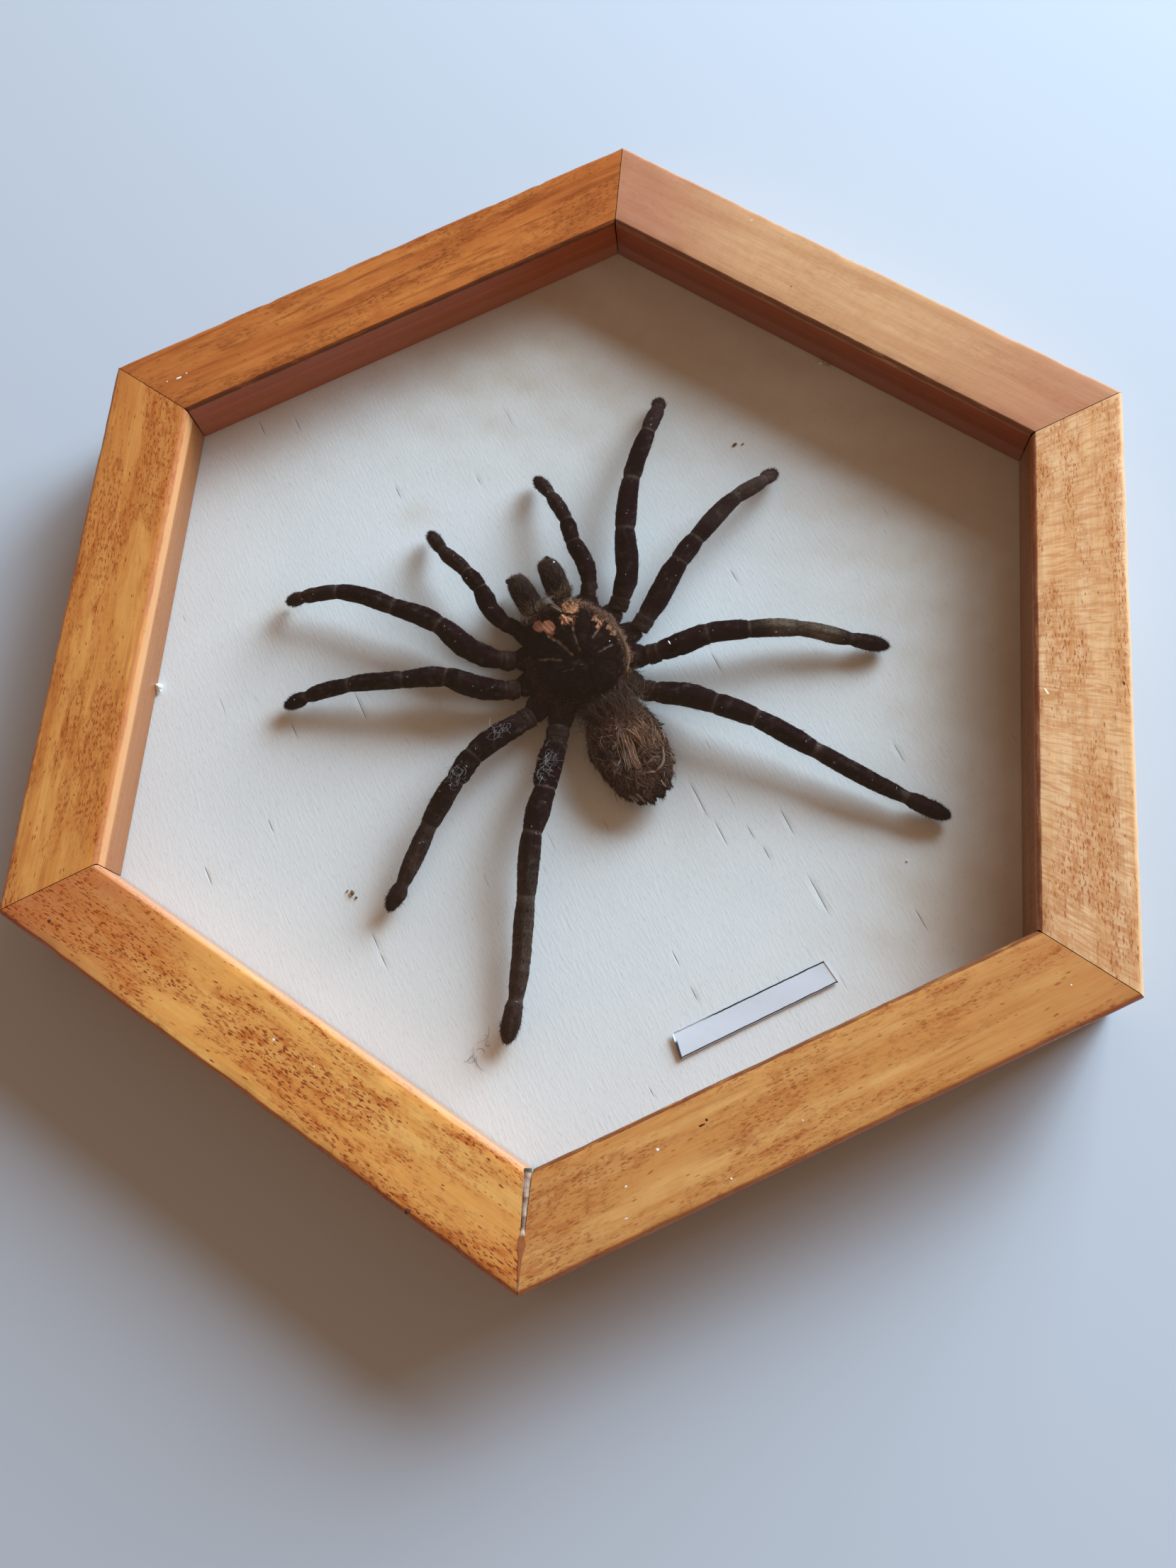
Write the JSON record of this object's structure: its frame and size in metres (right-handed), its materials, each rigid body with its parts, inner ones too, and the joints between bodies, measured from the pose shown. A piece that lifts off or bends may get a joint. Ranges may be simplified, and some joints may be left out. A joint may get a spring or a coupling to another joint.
{
  "type": "framed tarantula specimen",
  "caption": "Dried tarantula with spread legs on a white painted board, behind glass in a deep hexagonal frame of mitred wooden rails, with a small bare label.",
  "frame": {"origin": "middle of the frame's flat back, on the surface that it lies on", "axes": "+Z out through the glass; +Y to the rail that is uppermost when the frame hangs, which is where the spider's head points; +X to the right as seen from the front, corner to corner"},
  "size_m": [0.3008, 0.261, 0.024],
  "materials": {
    "rail_upper_right": "varnished pinkish-brown hardwood, fine straight grain",
    "rail_top": "varnished orange-brown hardwood with darker streaks",
    "rail_upper_left": "varnished orange-tan hardwood, streaks and flecks",
    "rail_lower_left": "varnished orange-tan hardwood, dense dark flecks",
    "rail_bottom": "varnished orange-tan hardwood, dark brown streaks",
    "rail_lower_right": "varnished light tan hardwood with wavy cross figure",
    "glass": "clear picture glass",
    "painted_board": "white painted plywood, grain and checks showing through; bare wood at the back",
    "filler": "dried glue and wood putty",
    "card": "white paper card, bare but for thin ruled edge lines",
    "carapace": "dark brown velvet hair with bald pinkish patches and a golden fringe",
    "abdomen_hair": "long ginger-brown hair over dark skin",
    "chelicerae": "dark brown short hair, grey tufts at the tips",
    "legs": "black-brown short hair, paler at the feet"
  },
  "bodies": {
    "root": {"rail_upper_right": "rail_upper_right", "rail_top": "rail_top", "rail_upper_left": "rail_upper_left", "rail_lower_left": "rail_lower_left", "rail_bottom": "rail_bottom", "rail_lower_right": "rail_lower_right", "glass_pane": "glass", "backboard": "painted_board", "mitre_filler": "filler", "label_card": "card", "cephalothorax": "carapace", "abdomen": "abdomen_hair", "chelicera_left": "chelicerae", "chelicera_right": "chelicerae", "palp_left": "legs", "palp_right": "legs", "leg_1_left": "legs", "leg_1_right": "legs", "leg_2_left": "legs", "leg_2_right": "legs", "leg_3_left": "legs", "leg_3_right": "legs", "leg_4_left": "legs", "leg_4_right": "legs"}
  },
  "joints": []
}
